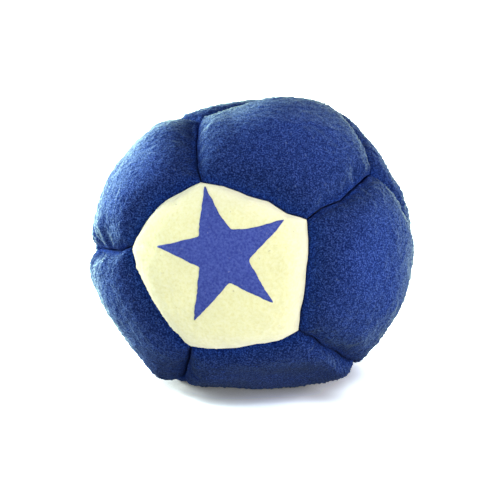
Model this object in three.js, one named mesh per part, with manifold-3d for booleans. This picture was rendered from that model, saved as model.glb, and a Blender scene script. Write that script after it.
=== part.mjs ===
// A slack twelve-panel footbag at rest on the ground, in millimetres, with +Z up.
// Twelve five-sided suede panels are sewn edge to edge, inside out, and turned. Each panel is a
// puffed skin whose edges fold inwards into seam allowances. Each of the thirty seams is held by a
// running stitch through needle holes in both allowances, and loose pellets fill the inside.
// The bag is modelled round first, and every vertex is then moved to where it settles.
import * as THREE from "three";
import { mergeVertices } from "three/addons/utils/BufferGeometryUtils.js";
import Module from "manifold-3d";

const wasm = await Module();
wasm.setup();

// The bag, filled and round
const bagDiameter = 56; // across the crowns of two opposite panels
const crownHeight = 1.0; // how much higher a panel's middle is than its shoulders
const grooveDepth = 1.8; // from a panel's shoulders down to its seams
const shoulderReach = 4.8; // width of the rounded shoulder beside a seam
const cornerBlendPower = 4; // power that rounds a shoulder where two seams meet

// Suede
const suedeThickness = 0.9;
const seamAllowance = 3.2; // depth of the edge that is folded inside
const seamGap = 0.25; // between the two allowances of a seam

// Sewing thread
const threadDiameter = 0.5;
const threadClearance = 0.2; // around the thread, in its holes and along the allowance
const stitchPitch = 4.0;
const stitchDepth = 1.6; // from the fold down to the stitches
const stitchEndLength = 2.6; // from a corner to the nearest stitch
const threadTailLength = 1.0; // past the last stitch

// Pellet fill
const fillClearance = 0.5; // to the suede around it
const plugRootDepth = 2.0; // how deep a panel's share of the pellets runs into the core

// Printed star
const starReach = 11.5; // from its centre to a tip, about
const starWaistReach = 4.4; // from its centre to an inner corner, about
const starOffsetRight = 1.7; // where its centre is on the panel
const starOffsetUp = 2.7;
const printThickness = 0.15;
const printGap = 0.1;

// How the bag stands and settles
const starSideAngle = THREE.MathUtils.degToRad(-13.4); // turned to the left of the front
const starLiftAngle = THREE.MathUtils.degToRad(7.5); // above the horizon
const starSpinAngle = THREE.MathUtils.degToRad(16.1); // anticlockwise, seen from the front
const spreadShare = 0.023; // wider, by its own weight
const sinkShare = 0.064; // lower, by its own weight
const standShare = 0.84; // height of the middle above the ground, of the bag's radius
const footPressDepth = 0.7; // how far the puffed skin is pressed flat on the ground
const footBlendHeight = 0.5; // how gently the flattened foot runs into the sides
const pullReachAngle = THREE.MathUtils.degToRad(22); // how far around each pull is felt

// Tilts from the star's normal on a regular dodecahedron, in degrees
const nearEdgeAngle = 31.717;
const nearCornerAngle = 37.377;
const nearPanelAngle = 63.435;
const farCornerAngle = 79.188;
const backCornerAngle = 100.812;
const farPanelAngle = 116.565;

// Where the pellets push or let go, as shares of the bag's radius: right, away, up.
// A place is a tilt from the star's normal and a turn from its top, in degrees.
const pullShares = [
  { tilt: nearCornerAngle, turn: 0, by: [-0.015, -0.01, -0.03] },
  { tilt: nearCornerAngle, turn: 72, by: [0.01, 0.01, 0.035] },
  { tilt: nearCornerAngle, turn: 144, by: [0, 0, -0.01] },
  { tilt: nearCornerAngle, turn: 216, by: [-0.01, -0.01, -0.035] },
  { tilt: nearCornerAngle, turn: 288, by: [-0.015, 0.005, 0.015] },
  { tilt: nearEdgeAngle, turn: 36, by: [-0.02, 0.025, 0.075] },
  { tilt: nearEdgeAngle, turn: 108, by: [-0.025, 0.01, 0.025] },
  { tilt: nearEdgeAngle, turn: 180, by: [0.01, -0.01, -0.02] },
  { tilt: nearEdgeAngle, turn: 252, by: [0.025, 0.01, 0.03] },
  { tilt: nearEdgeAngle, turn: 324, by: [0.04, 0.005, 0.005] },
  { tilt: nearPanelAngle, turn: 36, by: [0.015, 0, 0.005] },
  { tilt: nearPanelAngle, turn: 108, by: [0.04, -0.005, 0] },
  { tilt: nearPanelAngle, turn: 180, by: [0.1, 0.065, 0.1] },
  { tilt: nearPanelAngle, turn: 252, by: [0, 0.005, 0.025] },
  { tilt: nearPanelAngle, turn: 324, by: [-0.005, 0.01, 0.035] },
  { tilt: farCornerAngle, turn: 0, by: [-0.075, -0.015, -0.04] },
  { tilt: farCornerAngle, turn: 72, by: [-0.02, -0.025, -0.085] },
  { tilt: farCornerAngle, turn: 144, by: [-0.07, -0.04, 0] },
  { tilt: farCornerAngle, turn: 216, by: [-0.065, -0.03, -0.1] },
  { tilt: farCornerAngle, turn: 288, by: [-0.01, 0.015, 0.045] },
  { tilt: backCornerAngle, turn: 36, by: [0.035, -0.005, -0.015] },
  { tilt: backCornerAngle, turn: 252, by: [-0.02, 0.02, 0.06] },
  { tilt: backCornerAngle, turn: 324, by: [0.075, 0.01, 0.025] },
  { tilt: farPanelAngle, turn: 0, by: [0.045, -0.025, -0.09] },
  { tilt: farPanelAngle, turn: 144, by: [-0.015, -0.02, -0.03] },
  { tilt: farPanelAngle, turn: 216, by: [0, 0.02, 0.05] },
  { tilt: farPanelAngle, turn: 288, by: [-0.115, -0.02, -0.09] },
];

// The hand-cut star, point by point: turn in degrees, and reach as a share of starReach or starWaistReach
const starTipShares = [
  { turn: 3, reach: 1.09 },
  { turn: 76, reach: 0.94 },
  { turn: 145, reach: 1.06 },
  { turn: 213, reach: 0.94 },
  { turn: 288, reach: 0.98 },
];
const starWaistShares = [
  { turn: 34, reach: 1.05 },
  { turn: 111, reach: 0.87 },
  { turn: 185, reach: 1.03 },
  { turn: 250, reach: 1.02 },
  { turn: 327, reach: 1.1 },
];

// Mesh counts
const domeShares = [0.35, 0.65]; // rings between a panel's middle and its shoulders
const liningDomeShares = [0.5];
const outerRoll = [90, 50, 22].map(THREE.MathUtils.degToRad); // rings round the folded shoulder
const liningRoll = [90, 35].map(THREE.MathUtils.degToRad);
const fillRoll = [90].map(THREE.MathUtils.degToRad);
const fillColumnShares = [0, 0.5]; // along each edge of a panel
const coreSplitCount = 1;
const threadSideCount = 4;

// Sizes that follow
const bagRadius = bagDiameter / 2;
const seamRadius = bagRadius - crownHeight - grooveDepth;
const rawRadius = seamRadius - seamAllowance; // where the allowances end
const contactInset = seamGap / 2; // from a seam's plane to the allowance
const liningInset = contactInset + suedeThickness; // to the allowance's inner side
const threadInset = liningInset + threadClearance + threadDiameter / 2;
const fillInset = threadInset + threadDiameter / 2 + threadClearance;
const needleHoleWidth = threadDiameter + 2 * threadClearance;
const stitchRadius = seamRadius - stitchDepth;
const coreRadius = rawRadius - fillClearance;
const pressedRadius = bagRadius - footPressDepth;

// Directions of the round bag's panels and corners

// The direction at a tilt from +Z, turned anticlockwise from +Y as seen from outside, in degrees
function direction(tilt, turn) {
  const t = THREE.MathUtils.degToRad(tilt);
  const a = THREE.MathUtils.degToRad(turn);
  return new THREE.Vector3(-Math.sin(t) * Math.sin(a), Math.sin(t) * Math.cos(a), Math.cos(t));
}

const FIVE = [0, 1, 2, 3, 4];
const fifthAngle = 72;
const nearNames = ["upper_left", "lower_left", "bottom", "right", "top"];
const farNames = ["far_top", "far_left", "far_lower_left", "far_lower_right", "far_right"];
const panels = [
  { name: "star", facing: direction(0, 0) },
  ...FIVE.map((i) => ({ name: nearNames[i], facing: direction(nearPanelAngle, fifthAngle * (i + 0.5)) })),
  ...FIVE.map((i) => ({ name: farNames[i], facing: direction(farPanelAngle, fifthAngle * i) })),
  { name: "back", facing: direction(180, 0) },
];
const corners = [
  ...FIVE.map((i) => direction(nearCornerAngle, fifthAngle * i)),
  ...FIVE.map((i) => direction(farCornerAngle, fifthAngle * i)),
  ...FIVE.map((i) => direction(backCornerAngle, fifthAngle * (i + 0.5))),
  ...FIVE.map((i) => direction(180 - nearCornerAngle, fifthAngle * (i + 0.5))),
];
const cornerReach = Math.cos(THREE.MathUtils.degToRad(nearCornerAngle + 1)); // a panel's corners are nearer

function cornersOf(...facings) {
  return corners.filter((corner) => facings.every((facing) => corner.dot(facing) > cornerReach));
}

// One panel, facing +Z with a corner towards +Y

const middle = direction(0, 0);
const panelCorners = FIVE.map((i) => direction(nearCornerAngle, fifthAngle * i));
const seamNormals = FIVE.map((i) => {
  const next = panelCorners[(i + 1) % 5];
  return new THREE.Vector3().crossVectors(panelCorners[i], next).normalize();
});
const halfWidth = seamRadius * Math.asin(middle.dot(seamNormals[0])); // from middle to seam
const cornerHalfAngle = Math.PI / 3; // three panels meet at a corner, 120 degrees each

// A vector turned from start towards end by a share of the angle between them
function between(start, end, share) {
  const angle = start.angleTo(end);
  const from = start.clone().multiplyScalar(Math.sin((1 - share) * angle) / Math.sin(angle));
  return from.addScaledVector(end, Math.sin(share * angle) / Math.sin(angle));
}

// Corner i of the panel at a radius, drawn in by an inset from both of its seams' planes
function cornerPoint(radius, inset, i) {
  const corner = panelCorners[i];
  const inwards = middle.clone().addScaledVector(corner, -middle.dot(corner)).normalize();
  const drawn = inset / Math.sin(cornerHalfAngle);
  return corner.clone().multiplyScalar(Math.sqrt(radius ** 2 - drawn ** 2)).addScaledVector(inwards, drawn);
}

// A point on the panel's edge at a radius, an inset away from the seam's plane
function edgePoint(radius, inset, column) {
  const centre = seamNormals[column.edge].clone().multiplyScalar(inset);
  const start = cornerPoint(radius, inset, column.edge).sub(centre);
  const end = cornerPoint(radius, inset, (column.edge + 1) % 5).sub(centre);
  return between(start, end, column.share).add(centre);
}

function columnsAt(shares) {
  return FIVE.flatMap((edge) => shares.map((share) => ({ edge, share })));
}

// Distance from a direction to the panel's seams, blended round the corners
function seamDistance(facing, inset) {
  const least = seamRadius * 1e-6;
  const sum = seamNormals.reduce((total, normal) => {
    const distance = seamRadius * Math.asin(facing.dot(normal)) - inset;
    return total + Math.max(distance, least) ** -cornerBlendPower;
  }, 0);
  return sum ** (-1 / cornerBlendPower);
}

// Radius of the puffed skin, or of a layer a depth below it that starts at an inset
function skinRadius(facing, inset, depth) {
  const distance = seamDistance(facing, inset);
  const roll = 1 - Math.min(distance / (shoulderReach - depth), 1);
  const dome = 1 - Math.min(distance / halfWidth, 1);
  const rise = (grooveDepth - depth) * Math.sqrt(1 - roll ** 2);
  return seamRadius + rise + crownHeight * (1 - dome ** 2);
}

// A ring of the skin at a share of the way from the middle to the edge of each column
function skinRing(columns, inset, depth, shareAt) {
  return columns.map((column) => {
    const edge = edgePoint(seamRadius, inset, column).normalize();
    const facing = between(middle, edge, shareAt(seamRadius * middle.angleTo(edge)));
    return facing.normalize().multiplyScalar(skinRadius(facing, inset, depth));
  });
}

// Rings of one layer of the skin, from near the panel's middle out to its fold
function skinRings(columns, inset, depth, shares, roll) {
  const reach = shoulderReach - depth;
  return [
    ...shares.map((share) => skinRing(columns, inset, depth, () => share)),
    ...roll.map((angle) =>
      skinRing(columns, inset, depth, (width) => 1 - (reach * (1 - Math.cos(angle))) / width),
    ),
    edgeRing(columns, seamRadius, inset),
  ];
}

function edgeRing(columns, radius, inset) {
  return columns.map((column) => edgePoint(radius, inset, column));
}

function skinMiddle(inset, depth) {
  return middle.clone().multiplyScalar(skinRadius(middle, inset, depth));
}

// Solids, as lists of points and of triangles that name three points each

// Adds the bands between loops of as many points each, given as lists of point indices
function addBands(triangles, loops) {
  for (let loop = 1; loop < loops.length; loop++) {
    const before = loops[loop - 1];
    const after = loops[loop];
    before.forEach((point, i) => {
      const next = (i + 1) % before.length;
      triangles.push([point, after[i], after[next]]);
      triangles.push([point, after[next], before[next]]);
    });
  }
}

// A solid with rings of points around its axis and a single point at each end. It is closed,
// but for the bands after the rings listed as open, which are left for the caller to fill.
function ringSolid(start, rings, end, open = []) {
  const count = rings[0].length;
  const points = [start, ...rings.flat(), end];
  const loops = rings.map((ring, i) => ring.map((_, k) => 1 + i * count + k));
  const triangles = [];
  loops[0].forEach((point, k) => {
    triangles.push([0, point, loops[0][(k + 1) % count]]);
  });
  loops.slice(1).forEach((loop, i) => {
    if (!open.includes(i)) addBands(triangles, [loops[i], loop]);
  });
  const last = loops[loops.length - 1];
  last.forEach((point, k) => {
    triangles.push([point, points.length - 1, last[(k + 1) % count]]);
  });
  return { points, triangles, loops };
}

function turned({ points, triangles }, frame) {
  return { points: points.map((point) => point.clone().applyMatrix4(frame)), triangles };
}

function manifoldOf({ points, triangles }) {
  const vertProperties = new Float32Array(points.flatMap((point) => point.toArray()));
  const triVerts = new Uint32Array(triangles.flat());
  return new wasm.Manifold(new wasm.Mesh({ numProp: 3, vertProperties, triVerts }));
}

function manifoldOfGeometry(geometry) {
  geometry.deleteAttribute("normal");
  geometry.deleteAttribute("uv");
  const merged = mergeVertices(geometry);
  const vertProperties = merged.getAttribute("position").array;
  const triVerts = new Uint32Array(merged.index.array);
  return new wasm.Manifold(new wasm.Mesh({ numProp: 3, vertProperties, triVerts }));
}

function solidOfManifold(manifold) {
  const { vertProperties, numProp, numVert, numTri, triVerts } = manifold.getMesh();
  const pointAt = (_, i) => new THREE.Vector3().fromArray(vertProperties, i * numProp);
  const points = Array.from({ length: numVert }, pointAt);
  const triangles = Array.from({ length: numTri }, (_, i) => [...triVerts.slice(3 * i, 3 * i + 3)]);
  return { points, triangles };
}

// Stitches

// Angles along a seam, from its middle, at which the thread goes through both allowances
function stitchAngles() {
  const seamAngle = panelCorners[0].angleTo(panelCorners[1]);
  const length = stitchRadius * seamAngle - 2 * stitchEndLength;
  const gaps = Math.max(Math.floor(length / stitchPitch), 1);
  return Array.from({ length: gaps + 1 }, (_, i) => ((i - gaps / 2) * stitchPitch) / stitchRadius);
}

// Matrix that stands a seam's own frame, +X along it and +Z outwards from its middle, on a seam
function seamFrame(start, end) {
  const outwards = start.clone().add(end).normalize();
  const along = end.clone().sub(start).normalize();
  const across = new THREE.Vector3().crossVectors(outwards, along);
  return new THREE.Matrix4().makeBasis(along, across, outwards);
}

// Shares of a seam's length at which one stitch's cell of the allowance gives way to the next
function cellShares() {
  const angles = stitchAngles();
  const seamAngle = panelCorners[0].angleTo(panelCorners[1]);
  const halfway = angles.slice(1).map((angle, i) => (angle + angles[i]) / 2);
  return [0, ...halfway.map((angle) => 0.5 + angle / seamAngle)];
}

// The corners of a needle hole on one side of the allowance, in the seam's own frame
function needleHole(angle, inset) {
  const half = needleHoleWidth / 2;
  const turn = new THREE.Matrix4().makeRotationY(angle);
  const corners = [[-half, -half], [-half, half], [half, half], [half, -half]];
  return corners.map(([x, z]) => new THREE.Vector3(x, inset, stitchRadius + z).applyMatrix4(turn));
}

// The running stitch of one seam, in the seam's own frame: a square wave through the allowances
function threadSolid() {
  const angles = stitchAngles();
  const path = [new THREE.Vector2(stitchRadius * angles[0] - threadTailLength, threadInset)];
  angles.forEach((angle, i) => {
    const side = i % 2 ? -threadInset : threadInset;
    const along = stitchRadius * angle;
    path.push(new THREE.Vector2(along, side), new THREE.Vector2(along, -side));
  });
  const last = path[path.length - 1];
  path.push(new THREE.Vector2(last.x + threadTailLength, last.y));
  const rings = path.map((point, i) => threadRing(path[i - 1], point, path[i + 1]));
  const endPoint = (point) => onSeam(point, 0);
  return ringSolid(endPoint(path[0]), rings, endPoint(path[path.length - 1]));
}

// A point of the stitch line, raised outwards, bent round the seam's arc
function onSeam(point, raised) {
  const angle = point.x / stitchRadius;
  const radius = stitchRadius + raised;
  return new THREE.Vector3(radius * Math.sin(angle), point.y, radius * Math.cos(angle));
}

// The thread's section at a point of its path, mitred between its two neighbours
function threadRing(before, point, after) {
  const arriving = before ? point.clone().sub(before).normalize() : null;
  const leaving = after ? after.clone().sub(point).normalize() : arriving;
  const heading = (arriving ?? leaving).clone().add(leaving).normalize();
  const stretch = 1 / heading.dot(leaving);
  const sideways = new THREE.Vector2(heading.y, -heading.x).multiplyScalar(stretch);
  return Array.from({ length: threadSideCount }, (_, i) => {
    const angle = (2 * Math.PI * (i + 0.5)) / threadSideCount;
    const offset = (threadDiameter / 2) * Math.cos(angle);
    const raised = (threadDiameter / 2) * Math.sin(angle);
    return onSeam(point.clone().addScaledVector(sideways, offset), raised);
  });
}

// Panel, print and fill, in the panel's own frame

function panelSolid() {
  const columns = columnsAt(cellShares());
  const outside = skinRings(columns, contactInset, 0, domeShares, outerRoll);
  const lining = skinRings(columns, liningInset, suedeThickness, liningDomeShares, liningRoll);
  const fold = outside.length - 1;
  const { points, triangles, loops } = ringSolid(
    skinMiddle(contactInset, 0),
    [
      ...outside,
      edgeRing(columns, rawRadius, contactInset),
      edgeRing(columns, rawRadius, liningInset),
      ...lining.reverse(),
    ],
    skinMiddle(liningInset, suedeThickness),
    [fold, fold + 2],
  );
  const [contactFold, contactRaw, liningRaw, liningFold] = loops.slice(fold, fold + 4);
  columns.forEach(({ edge }, i) => {
    const next = (i + 1) % columns.length;
    const cell = (raw, folded) => [raw[i], folded[i], folded[next], raw[next]];
    const frame = seamFrame(panelCorners[edge], panelCorners[(edge + 1) % 5]);
    const angle = stitchAngles()[i % (columns.length / 5)];
    const addHole = (inset) =>
      needleHole(angle, inset).map((point) => points.push(point.applyMatrix4(frame)) - 1);
    const holes = [addHole(contactInset), addHole(liningInset)];
    addBands(triangles, [cell(contactRaw, contactFold), ...holes, cell(liningRaw, liningFold)]);
  });
  return { points, triangles };
}

// Everything under the star panel's skin, raised by an offset
function underSkin(offset) {
  const columns = columnsAt(cellShares());
  const raise = (point) => point.setLength(point.length() + offset);
  const rings = skinRings(columns, contactInset, 0, domeShares, outerRoll);
  rings.flat().forEach(raise);
  return manifoldOf(ringSolid(raise(skinMiddle(contactInset, 0)), rings, new THREE.Vector3()));
}

function starShape() {
  const placed = (share, size) => {
    const angle = THREE.MathUtils.degToRad(share.turn);
    const reach = share.reach * size;
    const right = starOffsetRight - reach * Math.sin(angle);
    const up = starOffsetUp + reach * Math.cos(angle);
    return new THREE.Vector2(right, up);
  };
  return new THREE.Shape(
    FIVE.flatMap((i) => [placed(starTipShares[i], starReach), placed(starWaistShares[i], starWaistReach)]),
  );
}

function printSolid() {
  const prism = new THREE.ExtrudeGeometry(starShape(), { depth: bagRadius, bevelEnabled: false });
  prism.translate(0, 0, bagRadius / 2);
  return solidOfManifold(
    manifoldOfGeometry(prism)
      .intersect(underSkin(printGap + printThickness))
      .subtract(underSkin(printGap)),
  );
}

// The pellets under one panel, down to where they join the core
function fillPlug() {
  const columns = columnsAt(fillColumnShares);
  const depth = suedeThickness + fillClearance;
  const rootRadius = coreRadius - plugRootDepth;
  return ringSolid(
    skinMiddle(fillInset, depth),
    [...skinRings(columns, fillInset, depth, [], fillRoll), edgeRing(columns, rootRadius, fillInset)],
    middle.clone().multiplyScalar(rootRadius),
  );
}

function fillSolid() {
  const core = manifoldOfGeometry(new THREE.IcosahedronGeometry(coreRadius, coreSplitCount));
  const plug = fillPlug();
  return solidOfManifold(
    panels.reduce((fill, { facing }) => fill.add(manifoldOf(turned(plug, panelFrame(facing)))), core),
  );
}

// Matrix that turns the one modelled panel to face a direction
function panelFrame(facing) {
  const corner = cornersOf(facing)[0];
  const up = corner.clone().addScaledVector(facing, -corner.dot(facing)).normalize();
  return new THREE.Matrix4().makeBasis(new THREE.Vector3().crossVectors(up, facing), up, facing);
}

// Settling

const standing = new THREE.Matrix4()
  .makeRotationZ(starSideAngle)
  .multiply(new THREE.Matrix4().makeRotationX(Math.PI / 2 - starLiftAngle))
  .multiply(new THREE.Matrix4().makeRotationZ(starSpinAngle));
const slump = new THREE.Vector3(1 + spreadShare, 1 + spreadShare, 1 - sinkShare);
const pulls = pullShares.map(({ tilt, turn, by }) => ({
  facing: direction(tilt, turn).applyMatrix4(standing),
  by: new THREE.Vector3(...by),
}));

// Where a point of the round bag is once the bag stands on the ground
function settled(point) {
  const stood = point.clone().applyMatrix4(standing);
  const facing = stood.clone().normalize();
  const pull = new THREE.Vector3();
  for (const { facing: place, by } of pulls) {
    pull.addScaledVector(by, Math.exp(-((facing.angleTo(place) / pullReachAngle) ** 2)));
  }
  const radius = stood.length();
  stood.multiply(slump).addScaledVector(pull, radius);
  const ground = -standShare * bagRadius;
  const skinHeight = (facing.z * slump.z + pull.z) * pressedRadius;
  const lift = footBlendHeight * Math.log(1 + Math.exp((ground - skinHeight) / footBlendHeight));
  stood.z = Math.max(stood.z + lift - ground, 0);
  return stood;
}

// Materials and meshes

function suede(colour) {
  return new THREE.MeshStandardMaterial({ color: colour, roughness: 0.95, metalness: 0 });
}

const materials = {
  blueSuede: suede(0x2b4488),
  paleSuede: suede(0xf7f4c4),
  print: new THREE.MeshStandardMaterial({ color: 0x4a55ab, roughness: 0.85, metalness: 0 }),
  thread: new THREE.MeshStandardMaterial({ color: 0x1c2b57, roughness: 0.7, metalness: 0 }),
  pellets: new THREE.MeshStandardMaterial({ color: 0xe9e6dc, roughness: 0.5, metalness: 0 }),
};

const bag = new THREE.Group();

function place(name, solid, frame, material) {
  const { points, triangles } = turned(solid, frame);
  const geometry = new THREE.BufferGeometry().setFromPoints(points.map(settled));
  geometry.setIndex(triangles.flat());
  geometry.computeVertexNormals();
  const mesh = new THREE.Mesh(geometry, material);
  mesh.name = name;
  bag.add(mesh);
}

const onePanel = panelSolid();
for (const { name, facing } of panels) {
  const material = name === "star" ? materials.paleSuede : materials.blueSuede;
  place(`panel_${name}`, onePanel, panelFrame(facing), material);
}

const oneThread = threadSolid();
panels.forEach((panel, i) => {
  for (const other of panels.slice(i + 1)) {
    const shared = cornersOf(panel.facing, other.facing);
    if (shared.length === 2) {
      place(`thread_${panel.name}_${other.name}`, oneThread, seamFrame(...shared), materials.thread);
    }
  }
});

place("star_print", printSolid(), panelFrame(panels[0].facing), materials.print);
place("pellet_fill", fillSolid(), new THREE.Matrix4(), materials.pellets);

// The footprint's middle is the origin
const middleOfBag = new THREE.Box3().setFromObject(bag).getCenter(new THREE.Vector3());
bag.position.set(-middleOfBag.x, -middleOfBag.y, 0);

export default bag;
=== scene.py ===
# A slack twelve-panel footbag of synthetic suede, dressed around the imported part.
# Lengths are in millimetres until a mesh is made, and metres after that.
import math

import bpy
import numpy as np
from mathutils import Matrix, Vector
from mathutils.bvhtree import BVHTree


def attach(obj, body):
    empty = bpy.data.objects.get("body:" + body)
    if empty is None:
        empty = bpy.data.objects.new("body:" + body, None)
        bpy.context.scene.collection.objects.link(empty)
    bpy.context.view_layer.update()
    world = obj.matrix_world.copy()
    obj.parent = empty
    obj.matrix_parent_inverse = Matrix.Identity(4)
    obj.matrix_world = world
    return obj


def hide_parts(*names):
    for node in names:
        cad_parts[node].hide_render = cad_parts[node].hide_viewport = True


MM = 0.001

# The bag, filled and round, with the part's own sizes
BAG_DIAMETER = 56.0
CROWN_HEIGHT = 1.0
GROOVE_DEPTH = 1.8
SHOULDER_REACH = 4.8
CORNER_BLEND_POWER = 4
SUEDE_THICKNESS = 0.9
SEAM_ALLOWANCE = 3.2
SEAM_GAP = 0.25
THREAD_DIAMETER = 0.5
THREAD_CLEARANCE = 0.2
STITCH_PITCH = 4.0
STITCH_DEPTH = 1.6
STITCHES_PER_SEAM = 4

# How it stands and settles, with the part's own sizes
STAR_SIDE_ANGLE = -13.4
STAR_LIFT_ANGLE = 7.5
STAR_SPIN_ANGLE = 16.1
SPREAD_SHARE = 0.023
SINK_SHARE = 0.064
STAND_SHARE = 0.84
FOOT_PRESS_DEPTH = 0.7
FOOT_BLEND_HEIGHT = 0.5
PULL_REACH_ANGLE = 22.0
BAG_PLACE = (0.6560, 0.1105)  # where the bag's middle stands on the ground

# Tilts from the star's normal on a regular dodecahedron, in degrees
NEAR_EDGE = 31.717
NEAR_CORNER = 37.377
NEAR_PANEL = 63.435
FAR_CORNER = 79.188
BACK_CORNER = 100.812
FAR_PANEL = 116.565
FIFTH = 72.0

# Where the pellets push or let go: tilt, turn, and shares of the radius to the right, away and up
PULL_SHARES = [
    (NEAR_CORNER, 0, (-0.015, -0.01, -0.03)),
    (NEAR_CORNER, 72, (0.01, 0.01, 0.035)),
    (NEAR_CORNER, 144, (0, 0, -0.01)),
    (NEAR_CORNER, 216, (-0.01, -0.01, -0.035)),
    (NEAR_CORNER, 288, (-0.015, 0.005, 0.015)),
    (NEAR_EDGE, 36, (-0.02, 0.025, 0.075)),
    (NEAR_EDGE, 108, (-0.025, 0.01, 0.025)),
    (NEAR_EDGE, 180, (0.01, -0.01, -0.02)),
    (NEAR_EDGE, 252, (0.025, 0.01, 0.03)),
    (NEAR_EDGE, 324, (0.04, 0.005, 0.005)),
    (NEAR_PANEL, 36, (0.015, 0, 0.005)),
    (NEAR_PANEL, 108, (0.04, -0.005, 0)),
    (NEAR_PANEL, 180, (0.1, 0.065, 0.1)),
    (NEAR_PANEL, 252, (0, 0.005, 0.025)),
    (NEAR_PANEL, 324, (-0.005, 0.01, 0.035)),
    (FAR_CORNER, 0, (-0.075, -0.015, -0.04)),
    (FAR_CORNER, 72, (-0.02, -0.025, -0.085)),
    (FAR_CORNER, 144, (-0.07, -0.04, 0)),
    (FAR_CORNER, 216, (-0.065, -0.03, -0.1)),
    (FAR_CORNER, 288, (-0.01, 0.015, 0.045)),
    (BACK_CORNER, 36, (0.035, -0.005, -0.015)),
    (BACK_CORNER, 252, (-0.02, 0.02, 0.06)),
    (BACK_CORNER, 324, (0.075, 0.01, 0.025)),
    (FAR_PANEL, 0, (0.045, -0.025, -0.09)),
    (FAR_PANEL, 144, (-0.015, -0.02, -0.03)),
    (FAR_PANEL, 216, (0, 0.02, 0.05)),
    (FAR_PANEL, 288, (-0.115, -0.02, -0.09)),
]

# The printed star, point by point: turn in degrees, and reach as a share of the star's sizes
STAR_REACH = 11.5
STAR_WAIST = 4.4
STAR_OFFSET = (1.7, 2.7)
STAR_TIP_SHARES = [(4.2, 1.045), (79, 0.89), (144.4, 1.085), (211.9, 0.94), (288, 0.94)]
STAR_WAIST_SHARES = [(36.2, 0.955), (108.8, 0.835), (186.3, 0.965), (249.6, 0.965), (332.5, 1.04)]
STAR_EDGE_STEP = 0.25  # between points of its outline
STAR_ROUNDING = 0.45  # how far its points are rounded off
STAR_ROUGHNESS = 0.05  # how ragged the printed edge is
STAR_ROUGH_SIZE = 0.9
STAR_RINGS = 26
INK_GAP = 0.06  # between the pale skin and the ink
INK_THICKNESS = 0.07

# Detail of the suede
GRID = 48  # quads from a panel's middle to the middle of an edge
EDGE_CROWDING = 1.3  # power that draws the quads together towards the folded edge
WAVE_SIZE = 4.6  # seams wander sideways in waves of this size
WAVE_REACH = 0.3
SMALL_WAVE_SIZE = 1.9
SMALL_WAVE_REACH = 0.1
PUFF_SIZE = 9.0  # broad unevenness of the fill
PUFF_REACH = 0.35
GATHER_SIZE = 2.6  # puckers that the stitches gather along a seam
GATHER_REACH = 0.32
GATHER_WIDTH = 3.0  # how far they fade out from it
SHOULDER_BLEND = 1.2  # over which the unevenness grows from a seam
RIM_BLEND = 0.5  # over which the cloth's rise and the nap grow from a seam
FOLD_RIM_SHARE = 0.3  # of a fold's height that is left at a seam
SEAM_SHADE_REACH = 10.0  # how far the painted shade beside a seam reaches
NAP_SIZE = 0.55  # lumps of the suede's short nap
NAP_REACH = 0.07
FIBRE_REACH = 0.24  # the longest single fibres
PRINTED_FIBRE_REACH = 0.12  # where the star is printed, too short to come through the ink
FIBRE_POWER = 6  # the higher, the fewer long fibres

# The cloth simulation of the skins
SIMULATION_SCALE = 20.0  # cloth this small is simulated larger than it is
SIMULATION_GRID = 16
CLOTH_QUALITY = 4
CLOTH_MASS = 0.01
CLOTH_STRETCH_STIFFNESS = 15
CLOTH_SHEAR_STIFFNESS = 5
CLOTH_BENDING_STIFFNESS = 0.5
CLOTH_PRESSURE = 4.0
CLOTH_GATHER = 0.06  # how much longer the cloth is beside its seams than the seams are
CLOTH_GATHER_SIZE = 7.8  # the gathers come and go in lumps of this size
CLOTH_UNEVENNESS = 0.4
CLOTH_FRAMES = 20
CLOTH_CAP = 0.5  # the furthest that a point may move in or out
CLOTH_SMOOTHING = 6  # rounds

# Seeds of the random lumps
WAVE_SEED = 11
SMALL_WAVE_SEED = 21
PUFF_SEED = 31
SMALL_PUFF_SEED = 61
GATHER_SEED = 91
NAP_SEED = 141
SMALL_NAP_SEED = 143
STAR_SEED = 171
SMALL_STAR_SEED = 173
CLOTH_SEED = 301
FIBRE_SEED = 400

# Where the visible seams bend sideways: their two ends, then moves in millimetres at four even places
# between them, anticlockwise for the seams that run outwards and inwards for the star panel's edges
SEAM_BENDS = [
    ((NEAR_CORNER, 0), (NEAR_CORNER, 72), (0.1, 0.12, 0.25, 0.32)),
    ((NEAR_CORNER, 72), (NEAR_CORNER, 144), (-0.69, -0.04, 0.71, -0.12)),
    ((NEAR_CORNER, 144), (NEAR_CORNER, 216), (-0.14, -0.34, 0.35, -0.37)),
    ((NEAR_CORNER, 216), (NEAR_CORNER, 288), (0.19, 0.08, 0, -0.23)),
    ((NEAR_CORNER, 288), (NEAR_CORNER, 360), (0.5, -0.5, -0.13, -0.56)),
    ((NEAR_CORNER, 0), (FAR_CORNER, 0), (0.2, 0.27, 0.1, -0.25)),
    ((NEAR_CORNER, 72), (FAR_CORNER, 72), (0.85, 0.4, -0.5, -0.3)),
    ((NEAR_CORNER, 144), (FAR_CORNER, 144), (0, 0.05, 0.2, 0.1)),
    ((NEAR_CORNER, 216), (FAR_CORNER, 216), (0, -0.85, -0.3, -0.3)),
    ((NEAR_CORNER, 288), (FAR_CORNER, 288), (0.2, -0.5, 0.2, -0.1)),
]
SEAM_BEND_REACH = 2.5

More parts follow.
